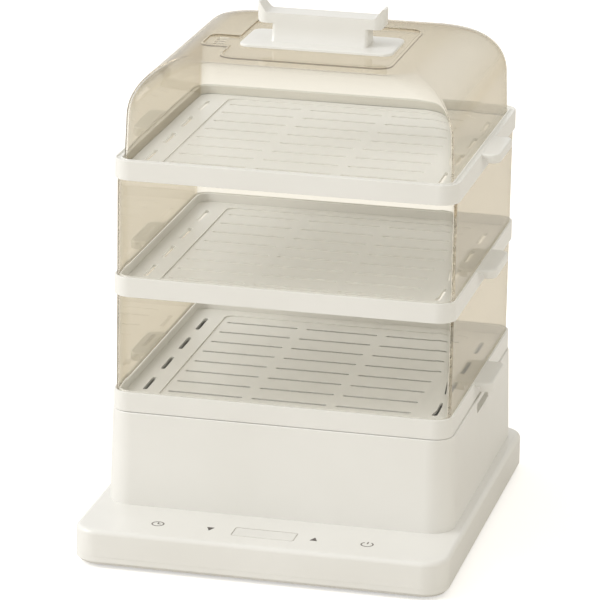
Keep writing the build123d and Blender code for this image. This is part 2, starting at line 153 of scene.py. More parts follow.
def made(name, bm, flats=True):
    """An object from a bmesh, smooth up to an angle, with its faces turned outwards."""
    bmesh.ops.recalc_face_normals(bm, faces=bm.faces)
    if all(edge.is_manifold for edge in bm.edges) and bm.calc_volume(signed=True) < 0:
        bmesh.ops.reverse_faces(bm, faces=bm.faces)
    mesh = bpy.data.meshes.new(name)
    bm.to_mesh(mesh)
    bm.free()
    mesh.shade_smooth()
    mesh.set_sharp_from_angle(angle=SMOOTH_UP_TO)
    piece = bpy.data.objects.new(name, mesh)
    bpy.context.scene.collection.objects.link(piece)
    if flats:
        keep_flats(piece)
    return piece


def keep_flats(piece):
    """Keeps the shading of large flat faces flat."""
    weights = piece.modifiers.new("normals", "WEIGHTED_NORMAL")
    weights.keep_sharp = True


def skin(name, rings, low=False, high=False, loop=False, flats=True):
    """One skin through outlines with the same number of points, with or without end faces."""
    bm = bmesh.new()
    loops = [[bm.verts.new([c * MM for c in point]) for point in ring] for ring in rings]
    following = loops[1:] + (loops[:1] if loop else [])
    for below, above in zip(loops, following):
        for index in range(len(below)):
            after = (index + 1) % len(below)
            bm.faces.new((below[index], below[after], above[after], above[index]))
    if low:
        bm.faces.new(list(reversed(loops[0])))
    if high:
        bm.faces.new(loops[-1])
    return made(name, bm, flats=flats)


def plate(name, outer, holes, low, high, bevel=0.0):
    """A flat plate with holes, with its edges softened."""
    bm = bmesh.new()
    for points in [outer] + holes:
        verts = [bm.verts.new((x * MM, y * MM, high * MM)) for x, y in points]
        for index in range(len(verts)):
            bm.edges.new((verts[index], verts[(index + 1) % len(verts)]))
    bmesh.ops.triangle_fill(bm, use_beauty=True, use_dissolve=False, edges=bm.edges)
    bmesh.ops.dissolve_limit(bm, angle_limit=0.01, verts=bm.verts, edges=bm.edges)
    lower = bmesh.ops.extrude_face_region(bm, geom=bm.faces[:])
    for item in lower["geom"]:
        if isinstance(item, bmesh.types.BMVert):
            item.co.z = low * MM
    piece = made(name, bm, flats=False)
    if bevel:
        soften(piece, bevel)
    keep_flats(piece)
    return piece


def soften(piece, width, segments=2, angle=50.0):
    """Rounds the sharp edges of a piece a little."""
    bevel = piece.modifiers.new("soft_edges", "BEVEL")
    bevel.width = width * MM
    bevel.segments = segments
    bevel.limit_method = "ANGLE"
    bevel.angle_limit = math.radians(angle)
    bevel.harden_normals = False


def settle(piece):
    """Applies a piece's modifiers to its mesh."""
    graph = bpy.context.evaluated_depsgraph_get()
    mesh = bpy.data.meshes.new_from_object(piece.evaluated_get(graph))
    piece.modifiers.clear()
    piece.data = mesh


def cut(piece, *tools, operation="DIFFERENCE"):
    """Cuts other pieces out of a piece, or joins or intersects them, and removes them."""
    flats = len(piece.modifiers) > 0
    piece.modifiers.clear()
    for tool in tools:
        tool.modifiers.clear()
        boolean = piece.modifiers.new("cut", "BOOLEAN")
        boolean.operation = operation
        boolean.solver = "EXACT"
        boolean.object = tool
        settle(piece)
    for tool in tools:
        bpy.data.objects.remove(tool)
    piece.data.shade_smooth()
    piece.data.set_sharp_from_angle(angle=SMOOTH_UP_TO)
    if flats:
        keep_flats(piece)
    return piece


def copy_of(piece, name, rise):
    """A copy of a piece that shares its mesh, some way up."""
    twin = piece.copy()
    twin.name = name
    twin.location.z += rise * MM
    bpy.context.scene.collection.objects.link(twin)
    return twin


# ---------------------------------------------------------------- materials
class Nodes:
    """A small helper that writes one material's node tree."""

    def __init__(self, name):
        self.material = bpy.data.materials.new(name)
        self.material.use_nodes = True
        self.tree = self.material.node_tree
        self.shader = self.tree.nodes["Principled BSDF"]
        self.output = self.tree.nodes["Material Output"]

    def add(self, kind, **values):
        """A new node; a value goes to the node's property of that name, or else to its input."""
        node = self.tree.nodes.new(kind)
        for key, value in values.items():
            if hasattr(node, key):
                setattr(node, key, value)
            else:
                node.inputs[key.replace("_", " ")].default_value = value
        return node

    def link(self, source, target):
        """Joins an output to an input."""
        self.tree.links.new(source, target)

    def set(self, **values):
        """Sets inputs of the shader."""
        for key, value in values.items():
            self.shader.inputs[key.replace("_", " ")].default_value = value

    def noise(self, scale, detail):
        """Noise that is fixed to the piece."""
        where = self.add("ShaderNodeTexCoord")
        texture = self.add("ShaderNodeTexNoise", Scale=scale, Detail=detail, Roughness=0.5)
        self.link(where.outputs["Object"], texture.inputs["Vector"])
        return texture.outputs["Fac"]

    def ramp(self, source, stops):
        """Colours by a value, from stops (place, colour)."""
        ramp = self.add("ShaderNodeValToRGB")
        elements = ramp.color_ramp.elements
        for index, (place, colour) in enumerate(stops):
            element = elements[index] if index < 2 else elements.new(place)
            element.position = place
            element.color = (*colour, 1.0)
        self.link(source, ramp.inputs["Fac"])
        return ramp.outputs["Color"]

    def uneven_gloss(self, source, low, high):
        """Roughness between two values, by a source."""
        node = self.add("ShaderNodeMapRange", To_Min=low, To_Max=high)
        self.link(source, node.inputs["Value"])
        self.link(node.outputs["Result"], self.shader.inputs["Roughness"])

    def bump(self, source, depth, strength=1.0):
        """A relief with a depth in metres."""
        node = self.add("ShaderNodeBump", Strength=strength, Distance=depth)
        self.link(source, node.inputs["Height"])
        self.link(node.outputs["Normal"], self.shader.inputs["Normal"])

    def compute(self, operation, first, second):
        """The result of an output and another output or a number."""
        node = self.add("ShaderNodeMath", operation=operation)
        self.link(first, node.inputs[0])
        if isinstance(second, float):
            node.inputs[1].default_value = second
        else:
            self.link(second, node.inputs[1])
        return node.outputs["Value"]

    def either(self, chooser, first, second):
        """The first shader where the chooser is 0, the second where it is 1."""
        node = self.add("ShaderNodeMixShader")
        self.link(chooser, node.inputs[0])
        self.link(first, node.inputs[1])
        self.link(second, node.inputs[2])
        return node.outputs["Shader"]

    def see_through(self, colour):
        """A surface that lets rays straight through, tinted."""
        node = self.add("ShaderNodeBsdfTransparent", Color=(*colour, 1.0))
        return node.outputs["BSDF"]


def plastic(name, colour, darker, roughness, grain=0.00002, coat=0.0):
    """Moulded plastic: a slow change of tone, a grain this deep in metres and an uneven gloss."""
    nodes = Nodes(name)
    tone = nodes.ramp(nodes.noise(9.0, 3.0), [(0.32, darker), (0.68, colour)])
    nodes.link(tone, nodes.shader.inputs["Base Color"])
    nodes.uneven_gloss(nodes.noise(60.0, 4.0), roughness - 0.05, roughness + 0.05)
    nodes.bump(nodes.noise(900.0, 2.0), grain)
    nodes.set(IOR=1.49, Coat_Weight=coat, Coat_Roughness=0.08)
    return nodes.material


TRAPPED_AFTER = 4.5  # bounces


def clear_plastic(name, edge_shaded_tints, roughness):
    """Clear plastic, tinted deeper where it is seen along its wall: partly its own colour over the
    longer path, partly painted shade for the dark lines at its edges and corners; it lets the lamps
    through.
    """
    nodes = Nodes(name)
    tone = nodes.ramp(nodes.noise(6.0, 2.0), [(0.3, (0.985, 0.985, 0.985)), (0.7, (1.0, 1.0, 1.0))])
    facing = nodes.add("ShaderNodeLayerWeight", Blend=0.5)
    shaded_tint = nodes.add("ShaderNodeMix", data_type="RGBA", blend_type="MULTIPLY")
    shaded_tint.inputs["Factor"].default_value = 1.0
    nodes.link(nodes.ramp(facing.outputs["Facing"], edge_shaded_tints), shaded_tint.inputs[6])
    nodes.link(tone, shaded_tint.inputs[7])
    nodes.link(shaded_tint.outputs[2], nodes.shader.inputs["Base Color"])
    nodes.set(Transmission_Weight=1.0, IOR=1.12)
    nodes.set(Coat_Weight=0.25, Coat_IOR=1.5, Coat_Roughness=0.02)
    nodes.uneven_gloss(nodes.noise(25.0, 3.0), roughness * 0.5, roughness * 1.5)
    nodes.bump(nodes.noise(14.0, 1.0), 0.0004, 0.02)
    path = nodes.add("ShaderNodeLightPath").outputs
    # a ray that runs round and round inside a wall comes out tinted, and is not lost in it; the
    # darker colour it takes is painted shade for the dark lines where rays are caught in a wall
    trapped = nodes.compute("GREATER_THAN", path["Ray Depth"], TRAPPED_AFTER)
    trapped_shade = nodes.see_through((0.70, 0.66, 0.59))
    seen = nodes.either(trapped, nodes.shader.outputs["BSDF"], trapped_shade)
    # light that falls on the white parts passes straight through
    lights = nodes.compute("MAXIMUM", path["Is Shadow Ray"], path["Is Diffuse Ray"])
    surface = nodes.either(lights, seen, nodes.see_through((0.997, 0.996, 0.99)))
    nodes.link(surface, nodes.output.inputs["Surface"])
    return nodes.material


def metal(name, colour, roughness):
    """Bare metal with a fine uneven grain."""
    nodes = Nodes(name)
    darker = tuple(c * 0.86 for c in colour)
    tone = nodes.ramp(nodes.noise(400.0, 4.0), [(0.3, darker), (0.7, colour)])
    nodes.link(tone, nodes.shader.inputs["Base Color"])
    nodes.set(Metallic=1.0)
    nodes.uneven_gloss(nodes.noise(100.0, 3.0), roughness - 0.07, roughness + 0.07)
    nodes.bump(nodes.noise(800.0, 2.0), 0.00002)
    return nodes.material


WHITE = plastic("white_plastic", (0.83, 0.82, 0.785), (0.80, 0.79, 0.75), 0.32, coat=0.25)
# colours from a surface that faces the eye, 0, to one seen along it, 1; the dark stops near 1 are
# partly painted shade along the edges and corners
CLEAR = clear_plastic("clear_plastic", [
    (0.0, (0.965, 0.955, 0.925)),
    (0.45, (0.82, 0.80, 0.745)),
    (0.70, (0.67, 0.625, 0.54)),
    (0.78, (0.56, 0.468, 0.315)),
    (1.0, (0.61, 0.555, 0.475)),
], 0.015)
INNER = plastic("inner_plastic", (0.74, 0.73, 0.69), (0.70, 0.69, 0.65), 0.45)
WINDOW = plastic("window", (0.80, 0.79, 0.755), (0.77, 0.76, 0.725), 0.16, 0.000004, 0.4)
BOARD = plastic("board", (0.05, 0.16, 0.07), (0.03, 0.11, 0.05), 0.5)
DARK = plastic("dark_plastic", (0.03, 0.03, 0.032), (0.02, 0.02, 0.022), 0.4)
RUBBER = plastic("rubber", (0.09, 0.09, 0.09), (0.06, 0.06, 0.06), 0.75, 0.00006)
SILICONE = plastic("silicone", (0.62, 0.60, 0.56), (0.56, 0.54, 0.50), 0.6)
CAST = metal("cast_plate", (0.56, 0.56, 0.57), 0.4)
STEEL = metal("steel", (0.62, 0.62, 0.63), 0.28)
PRINT = plastic("print", (0.11, 0.095, 0.085), (0.07, 0.06, 0.055), 0.5)
SOFT_PRINT = plastic("soft_print", (0.20, 0.18, 0.16), (0.15, 0.13, 0.12), 0.5)
# painted shade: the colour of the ring round the display window
PAINTED_WINDOW_SHADE = plastic("faint_print", (0.50, 0.47, 0.42), (0.44, 0.41, 0.37), 0.5)

by_slot = {
    "white_plastic": WHITE,
    "clear_plastic": CLEAR,
    "inner_plastic": INNER,
    "window": WINDOW,
    "board": BOARD,
    "dark_plastic": DARK,
    "rubber": RUBBER,
    "silicone": SILICONE,
    "cast_plate": CAST,
    "steel": STEEL,
}
for part in frame["record"]["subparts"]:
    node = frame["nodes"][part["node"]]
    node.data.materials.clear()
    node.data.materials.append(by_slot[part["material_slot"]])


def dressed(piece, body, material, slot, *nodes):
    """Gives a piece its material and body, and hides the nodes it stands for; its slot is not used.
    """
    piece.data.materials.clear()
    piece.data.materials.append(material)
    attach(piece, body)
    if nodes:
        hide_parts(*nodes)


# ---------------------------------------------------------------- base slab
DECK_ROUND = 4.5
COVER_GAP = 0.02
WINDOW_THICK = 1.6
WINDOW_GAP = 0.35
WINDOW_CORNER = 1.8
OPENING_CORNER = 2.2
STRIP_Y = (window_low.y + window_high.y) / 2
INLET_WIDTH = 30.0
INLET_HEIGHT = 18.0

window_width = window_high.x - window_low.x
window_depth = window_high.y - window_low.y


def strip_outline(grow, corner):
    """The display window's outline, made larger all round."""
    width, depth = window_width + 2 * grow, window_depth + 2 * grow
    return outline(width, depth, corner, y=STRIP_Y, steps=6)


def inlet_cutter():
    """The block that opens the housing's back wall for the mains inlet."""
    x = (inlet_low.x + inlet_high.x) / 2
    z = (inlet_low.z + inlet_high.z) / 2
    front, back = inlet_low.y - 0.2, inlet_high.y + 2 * PAST
    left, right = x - INLET_WIDTH / 2, x + INLET_WIDTH / 2
    block = [(left, front), (right, front), (right, back), (left, back)]
    return plate("inlet_hole", block, [], z - INLET_HEIGHT / 2, z + INLET_HEIGHT / 2)


housing_section = rounded([
    (6.0, COVER_TOP + COVER_GAP, 0),
    (0.0, COVER_TOP + COVER_GAP, 0.15),
    (0.0, DECK, DECK_ROUND),
    (12.0, DECK, 0),
], steps=8, closed=False)
housing_rings = []
for inset, z in housing_section:
    width, depth = BASE_WIDTH - 2 * inset, BASE_DEPTH - 2 * inset
    housing_rings.append(lifted(outline(width, depth, BASE_CORNER - inset, steps=16), z))
opening_form = strip_outline(WINDOW_GAP, OPENING_CORNER)
housing = cut(
    skin("slab_housing", housing_rings, low=True, high=True),
    plate("opening", opening_form, [], DECK - WINDOW_THICK, DECK + PAST),
    inlet_cutter(),
)
dressed(housing, "base", WHITE, "white_plastic", "base_housing")

window_form = strip_outline(0.0, WINDOW_CORNER)
window = plate("display_window_plate", window_form, [], DECK - WINDOW_THICK, DECK, 0.25)
dressed(window, "base", WINDOW, "window", "display_window")

# ---------------------------------------------------------------- tank
TANK_MARGIN = 1.5
TANK_FLARE = 2.5
TANK_CORNER = 22.0
LEDGE_DROP = 2.0
LEDGE_WIDTH = 6.5
POCKET_LENGTH = 54.0
POCKET_HEIGHT = 9.0
POCKET_CORNER = 3.0
POCKET_DROP = 4.5
POCKET_DEPTH = 7.0


def tank_ring(inset, z):
    """The flared tank's outline moved in by an inset, at one height."""
    flare = TANK_FLARE * max(RIM - z, 0.0) / (RIM - DECK)
    width = TRAY_WIDTH + 2 * (TANK_MARGIN + flare)
    depth = TRAY_DEPTH + 2 * (TANK_MARGIN + flare)
    corner = TANK_CORNER + flare - inset
    form = outline(width - 2 * inset, depth - 2 * inset, corner, y=STACK_Y, steps=16)
    return lifted(form, z)


def pocket_cutter(side):
    """The block that opens a finger pocket in one side of the tank."""
    z = RIM - POCKET_DROP - POCKET_HEIGHT / 2
    form = outline(POCKET_LENGTH, POCKET_HEIGHT, POCKET_CORNER, x=STACK_Y, y=z, steps=6)
    inner = side * (TRAY_WIDTH / 2 + TANK_MARGIN - POCKET_DEPTH)
    outer = side * (TRAY_WIDTH / 2 + 4 * PAST)
    rings = [[(x, y, z) for y, z in form] for x in (inner, outer)]
    return skin("pocket", rings, low=True, high=True)


tongue = TANK_MARGIN + WALL_INSET
ledge = tongue + WALL
tank_section = rounded([
    (14.0, DECK, 0),
    (0.0, DECK, 0),
    (0.0, RIM, 1.0),
    (tongue, RIM, 0.2),
    (tongue, RIM + SKIRT, 0.5),
    (ledge, RIM + SKIRT, 0.5),
    (ledge, RIM - LEDGE_DROP, 0.2),
    (ledge + LEDGE_WIDTH, RIM - LEDGE_DROP, 0.4),
    (ledge + LEDGE_WIDTH, RIM - 30.0, 0),
], closed=False)
tank_rings = [tank_ring(inset, z) for inset, z in tank_section]
tank = cut(skin("tank_shell", tank_rings, loop=True), pocket_cutter(-1), pocket_cutter(1))
dressed(tank, "base", WHITE, "white_plastic", "tank_housing")

# ---------------------------------------------------------------- trays
OVERLAP = 0.4  # what a floor reaches into its ring, both sides together
BORDER_SLOTS = 4
BORDER_SLOT_INSET = 22.0
BORDER_SLOT_LENGTH = 37.0
BORDER_SLOT_PITCH = 62.0
FIELD_SLOTS = 3
FIELD_SLOT_ROWS = 8
FIELD_SLOT_PITCH = 30.6
FIELD_SLOT_BRIDGE = 8.0
FIELD_SLOT_SPREAD = 223.0

EAR_REACH = 15.8
EAR_LENGTH = 68.0
EAR_HEIGHT = 8.0
EAR_CORNER = 8.0
EAR_TOP = 2.6
EAR_WALL = 2.2
MOUTH_WIDTH = 10.0
MOUTH_HEIGHT = 5.4
MOUTH_GAP = 0.6
MOUTH_REACH = 6.0
EAR_SUNK = 0.2  # how far inside the tray's sides the ears end


def tray_ring(inset, z, corner=TRAY_CORNER):
    """The trays' outline moved in by an inset, at one height."""
    width, depth = TRAY_WIDTH - 2 * inset, TRAY_DEPTH - 2 * inset
    return lifted(outline(width, depth, max(corner - inset, 0.8), y=STACK_Y), z)


def slot_outline(x, y, width, depth):
    """A slot with round ends."""
    return outline(width, depth, min(width, depth) / 2 - 0.05, x=x, y=y, steps=5)


def ear(side, top):
    """One lifting ear, hollow below, with an open mouth at each end."""
    face = side * TRAY_WIDTH / 2
    section = rounded([
        (EAR_WALL, top - EAR_TOP, 0.6),
        (EAR_WALL, top - EAR_HEIGHT, 0.6),
        (0.0, top - EAR_HEIGHT, 0.6),
        (0.0, top, 1.8),
        (6.0, top, 0),
    ], closed=False)
    rings = []
    for inset, z in section:
        width, length = 2 * (EAR_REACH - inset), EAR_LENGTH - 2 * inset
        form = outline(width, length, EAR_CORNER - inset, x=face, y=STACK_Y, steps=8)
        rings.append(lifted(form, z))
    mouths = []
    for end in (-1, 1):
        z = top - EAR_TOP - MOUTH_HEIGHT / 2 - MOUTH_GAP
        form = outline(MOUTH_WIDTH, MOUTH_HEIGHT, 0.8, x=face, y=z, steps=4)
        reach = [STACK_Y + end * (EAR_LENGTH / 2 + past) for past in (-MOUTH_REACH, MOUTH_REACH)]
        mouth_rings = [[(x, y, z) for x, z in form] for y in reach]
        mouths.append(skin("mouth", mouth_rings, low=True, high=True))
    return cut(skin("ear", rings, low=True, high=True), *mouths)


def on_side(item, side):
    """True where all of an item lies on one side of the middle plane."""
    verts = [item] if isinstance(item, bmesh.types.BMVert) else item.verts
    return all(vert.co.x * side > 0 for vert in verts)


def ear_pair(name, top):
    """Both ears of a tray, ended just inside the tray's sides."""
    both = bmesh.new()
    for side in (-1, 1):
        one = ear(side, top)
        both.from_mesh(one.data)
        bpy.data.objects.remove(one)
    inner = (TRAY_WIDTH / 2 - EAR_SUNK) * MM
    for side in (-1, 1):
        items = both.verts[:] + both.edges[:] + both.faces[:]
        bmesh.ops.bisect_plane(
            both,
            geom=[item for item in items if on_side(item, side)],
            plane_co=(side * inner, 0, 0),
            plane_no=(side, 0, 0),
            clear_inner=True,
        )
    return made(name, both)


ring_section = rounded([
    (0.0, SEAM, 0.4),
    (0.0, TRAY_HEIGHT, 0.7),
    (RING_WALL, TRAY_HEIGHT, 0.5),
    (RING_WALL, GROOVE_FLOOR, 0.3),
    (RING_WALL + GROOVE, GROOVE_FLOOR, 0.3),
    (RING_WALL + GROOVE, TRAY_HEIGHT, 0.5),
    (NEST, TRAY_HEIGHT, 0.5),
    (NEST, SKIRT, 0.3),
    (RING_WALL, SKIRT, 0.3),
    (RING_WALL, SEAM, 0.4),
])
ring = skin("ring_1", [tray_ring(inset, RIM + z) for inset, z in ring_section], loop=True)

inside_width = TRAY_WIDTH - 2 * NEST + OVERLAP
inside_depth = TRAY_DEPTH - 2 * NEST + OVERLAP
border_outer = outline(inside_width, inside_depth, TRAY_CORNER - NEST, y=STACK_Y)
border_inner = outline(FIELD_WIDTH, FIELD_DEPTH, FIELD_CORNER, y=STACK_Y, steps=6)
border_slots = [
    slot_outline(
        side * (TRAY_WIDTH / 2 - BORDER_SLOT_INSET),
        STACK_Y + (index - (BORDER_SLOTS - 1) / 2) * BORDER_SLOT_PITCH,
        SLOT,
        BORDER_SLOT_LENGTH,
    )
    for side in (-1, 1) for index in range(BORDER_SLOTS)
]
border_holes = [border_inner] + border_slots
floor_low, floor_high = RIM + FLOOR_TOP - FLOOR_THICK, RIM + FLOOR_TOP
border = plate("border_1", border_outer, border_holes, floor_low, floor_high, 0.35)

slot_length = (FIELD_SLOT_SPREAD - (FIELD_SLOTS - 1) * FIELD_SLOT_BRIDGE) / FIELD_SLOTS
field_slots = [
    slot_outline(
        (index - (FIELD_SLOTS - 1) / 2) * (slot_length + FIELD_SLOT_BRIDGE),
        STACK_Y + (row - (FIELD_SLOT_ROWS - 1) / 2) * FIELD_SLOT_PITCH,
        slot_length,
        SLOT,
    )
    for row in range(FIELD_SLOT_ROWS) for index in range(FIELD_SLOTS)
]
field_outer = outline(FIELD_WIDTH + 1.0, FIELD_DEPTH + 1.0, FIELD_CORNER, y=STACK_Y, steps=6)
field = plate("field_1", field_outer, field_slots, floor_low, floor_high - FIELD_DROP, 0.3)

ears = ear_pair("ears_1", RIM + TRAY_HEIGHT)
for number, body in enumerate(("lower_tray", "middle_tray", "upper_tray"), 1):
    group = [ring, border, field, ears]
    if number > 1:
        rise = LEVELS[number - 1] - RIM
        group = [copy_of(piece, piece.name.replace("_1", f"_{number}"), rise) for piece in group]
    replaced = ([f"tray_{number}"], [], [], [f"tray_{number}_ears"])
    for piece, nodes in zip(group, replaced):
        dressed(piece, body, WHITE, "white_plastic", *nodes)

# ---------------------------------------------------------------- clear walls
INNER_CORNER = 13.5

for number, body in ((1, "lower_wall"), (2, "upper_wall")):
    foot = LEVELS[number - 1] + GROOVE_FLOOR + 0.05
    head = span(f"wall_{number}")[1].z
    section = rounded([
        (WALL_INSET, foot, 0.5),
        (WALL_INSET, head, 1.6),
        (WALL_INSET + WALL, head, 0.5),
        (WALL_INSET + WALL, foot, 0.5),
    ])
    middle = WALL_INSET + WALL / 2
    rings = [
        tray_ring(inset, z, corner=TRAY_CORNER if inset < middle else INNER_CORNER)
        for inset, z in section
    ]
    wall = skin(f"clear_wall_{number}", rings, loop=True)
    dressed(wall, body, CLEAR, "clear_plastic", f"wall_{number}")

# ---------------------------------------------------------------- lid
LID_WALL = 2.2
LID_INSET = NEST + 0.3
LID_TOP = lid_high.z
LID_RIM = lid_low.z
LID_DRAFT = 2.0
SIDE_ROUND = 46.0
FRONT_ROUND = 37.0
LID_CORNER = 14.0
LID_TOP_CORNER = 24.0
PANEL_WIDTH = 152
PANEL_DEPTH = 151
PANEL_CORNER = 12
PANEL_DROP = 1.5
TAB_WIDTH = 39
TAB_DEPTH = 38
TAB_CORNER = 8
TAB_X = -83.5
TAB_Y = STACK_Y - 16
VENT_X = -89.5
VENTS = 4
VENT_PITCH = 8.0
VENT_LENGTH = 10.0
VENT_WIDTH = 3.0
VENT_DEPTH = 9.0


def pull(radius, z, top):
    """How far a quarter round under the top pulls in at one height."""
    rise = max(z - (top - radius), 0.0)
    return radius - math.sqrt(max(radius * radius - rise * rise, 0.0))


def dome_ring(inset, z):
    """The lid's outline at one height: its sides round over into the top."""
    top = LID_TOP - inset
    draft = math.tan(math.radians(LID_DRAFT)) * (z - LID_RIM)
    side = pull(SIDE_ROUND - inset, z, top)
    front = pull(FRONT_ROUND - inset, z, top)
    width = TRAY_WIDTH - 2 * (LID_INSET + inset + draft + side)
    depth = TRAY_DEPTH - 2 * (LID_INSET + inset + draft + front)
    corner = LID_CORNER - inset + (LID_TOP_CORNER - LID_CORNER) * side / (SIDE_ROUND - inset)
    return lifted(outline(width, depth, corner, y=STACK_Y, steps=14), z)


def dome_heights(inset, straight_steps=4, round_steps=22):
    """The heights of the lid's rings, closer where it turns."""
    radius = SIDE_ROUND - inset
    spring = LID_TOP - inset - radius
    straight = [
        LID_RIM + (spring - LID_RIM) * step / straight_steps for step in range(straight_steps)
    ]
    turn = [
        spring + radius * math.sin(step / round_steps * math.pi / 2)
        for step in range(round_steps + 1)
    ]
    return straight + turn


def panel_cutter(grow, low, high):
    """The form of the panel in the lid's top with its side tab."""
    panel_form = outline(
        PANEL_WIDTH + 2 * grow, PANEL_DEPTH + 2 * grow, PANEL_CORNER + grow, y=STACK_Y,
    )
    tab_form = outline(
        TAB_WIDTH + 2 * grow, TAB_DEPTH + 2 * grow, TAB_CORNER + grow, x=TAB_X, y=TAB_Y,
    )
    panel = plate("panel", panel_form, [], low, high)
    return cut(panel, plate("tab", tab_form, [], low, high), operation="UNION")


lid = skin("lid_dome", [dome_ring(0.0, z) for z in dome_heights(0.0)], low=True, high=True)
hollow_heights = [LID_RIM - 1.0] + dome_heights(LID_WALL)
hollow_rings = [dome_ring(LID_WALL, z) for z in hollow_heights]
hollow = cut(
    skin("hollow", hollow_rings, low=True, high=True),
    panel_cutter(LID_WALL, LID_TOP - LID_WALL - PANEL_DROP, LID_TOP + PAST),
)
lid = cut(lid, hollow, panel_cutter(0.0, LID_TOP - PANEL_DROP, LID_TOP + PAST))
vents = []
for index in range(VENTS):
    vent_y = TAB_Y + (index - (VENTS - 1) / 2) * VENT_PITCH
    vent_form = slot_outline(VENT_X, vent_y, VENT_LENGTH, VENT_WIDTH)
    vents.append(plate("vent", vent_form, [], LID_TOP - VENT_DEPTH, LID_TOP + PAST))
lid = cut(lid, *vents)
dressed(lid, "lid", CLEAR, "clear_plastic", "lid_shell")

# ---------------------------------------------------------------- handle
PLATE_CORNER = 10.0
GRIP_DEPTH = grip_high.y - grip_low.y
GRIP_CORNER = 10.0
WEB_WIDTH = 88.0
WEB_HEIGHT = 16.0
WEB_FLARE = 4.0
WEB_CORNER = 3.5
WEB_STEPS = 16
WEB_FOOT = 0.2  # how far the web stands in the plate
WEB_HEAD = 3.0  # how far the web reaches into the bar
BAR_HEIGHT = 9.5
BAR_ROUND = 3.0
END_LENGTH = 10.0
END_TOP = 3.0

plate_section = rounded([
    (8.0, plate_low.z, 0),
    (0.0, plate_low.z, 0.2),
    (0.0, plate_high.z, 1.2),
    (8.0, plate_high.z, 0),
], closed=False)
plate_size = plate_high - plate_low
plate_rings = []
for inset, z in plate_section:
    width, depth = plate_size.x - 2 * inset, plate_size.y - 2 * inset
    plate_rings.append(lifted(outline(width, depth, PLATE_CORNER - inset, y=STACK_Y), z))
handle_base = skin("handle_base", plate_rings, low=True, high=True)
dressed(handle_base, "lid", WHITE, "white_plastic", "handle_plate")

tip = (grip_high.x - grip_low.x) / 2
bar_low = plate_high.z + WEB_HEIGHT
bar_high = bar_low + BAR_HEIGHT


def grip_bar():
    """The bar with its upturned ends, drawn from the front and given its depth."""
    bend = tip - END_LENGTH + 0.6
    profile = rounded([
        (tip, grip_high.z, 0.9),
        (tip - END_TOP, grip_high.z, 0.9),
        (bend, bar_high, 5.0),
        (-bend, bar_high, 5.0),
        (-tip + END_TOP, grip_high.z, 0.9),
        (-tip, grip_high.z, 0.9),
        (-tip + 1.0, bar_low, 4.0),
        (tip - 1.0, bar_low, 4.0),
    ], steps=6)
    bm = bmesh.new()
    sides = []
    for end in (-1, 1):
        y = STACK_Y + end * GRIP_DEPTH / 2
        sides.append([bm.verts.new((x * MM, y * MM, z * MM)) for x, z in profile])
        bm.faces.new(sides[-1])
    for index in range(len(profile)):
        after = (index + 1) % len(profile)
        bm.faces.new((sides[0][index], sides[0][after], sides[1][after], sides[1][index]))
    upper = [
        edge for edge in bm.edges
        if abs(edge.verts[0].co.y - edge.verts[1].co.y) < 1e-6
        and min(vert.co.z for vert in edge.verts) > (bar_high - 0.2) * MM
    ]
    bmesh.ops.bevel(
        bm, geom=upper, offset=BAR_ROUND * MM, segments=5, profile=0.5, affect="EDGES",
        clamp_overlap=True,
    )
    bar = made("grip_bar", bm, flats=False)
    plan = outline(2 * tip, GRIP_DEPTH, GRIP_CORNER, y=STACK_Y, steps=16)
    block = plate("plan", plan, [], bar_low - PAST, grip_high.z + PAST)
    return cut(bar, block, operation="INTERSECT")


def grip_web():
    """The upright web, which flares softly into the plate below it."""
    foot = plate_high.z - WEB_FOOT
    rings = []
    for step in range(WEB_STEPS + 1):
        z = foot + (bar_low + WEB_HEAD - plate_high.z + WEB_FOOT) * step / WEB_STEPS
        fall = max(1.0 - (z - plate_high.z) / (bar_low - plate_high.z), 0.0)
        depth = GRIP_DEPTH + 2 * WEB_FLARE * fall ** 3
        rings.append(lifted(outline(WEB_WIDTH, depth, WEB_CORNER, y=STACK_Y, steps=8), z))
    return skin("grip_web", rings, low=True, high=True, flats=False)


grip = cut(grip_bar(), grip_web(), operation="UNION")
soften(grip, 1.1, segments=3, angle=40.0)
keep_flats(grip)
dressed(grip, "lid", WHITE, "white_plastic", "handle_grip")

# ---------------------------------------------------------------- touch marks on the strip, and painted shade round the window
MARK_SUNK = 0.1
MARK_PROUD = 0.04
KEY_HALF = 3.5
ICON_RADIUS = 5.2
STROKE = 1.3
CLOCK_X = -97.0
POWER_X = 92.5


def mark(name, outer, holes=(), material=SOFT_PRINT):
    """A thin mark on the deck: print, or painted shade where it rings the window."""
    piece = plate(name, outer, list(holes), DECK - MARK_SUNK, DECK + MARK_PROUD)
    dressed(piece, "base", material, "dark_plastic")


def arc(x, start, end, steps=28):
    """A curved stroke of an icon between two angles."""
    angles = [math.radians(start + (end - start) * step / steps) for step in range(steps + 1)]
    sides = []
    for radius in (ICON_RADIUS + STROKE / 2, ICON_RADIUS - STROKE / 2):
        sides.append([
            (x + radius * math.cos(angle), STRIP_Y + radius * math.sin(angle)) for angle in angles
        ])
    return sides[0] + sides[1][::-1]


def stroke(x0, y0, x1, y1):
    """A straight stroke of an icon between two points."""
    along = Vector((x1 - x0, y1 - y0)).normalized()
    side = Vector((-along.y, along.x)) * STROKE / 2
    return [
        (x0 - side.x, y0 - side.y),
        (x1 - side.x, y1 - side.y),
        (x1 + side.x, y1 + side.y),
        (x0 + side.x, y0 + side.y),
    ]


for name, x, way in (("key_down", -49.5, -1), ("key_up", 45.0, 1)):
    back, point = STRIP_Y - way * 4.0, STRIP_Y + way * 4.2
    mark(name, [(x - KEY_HALF, back), (x + KEY_HALF, back), (x, point)][::way], material=PRINT)

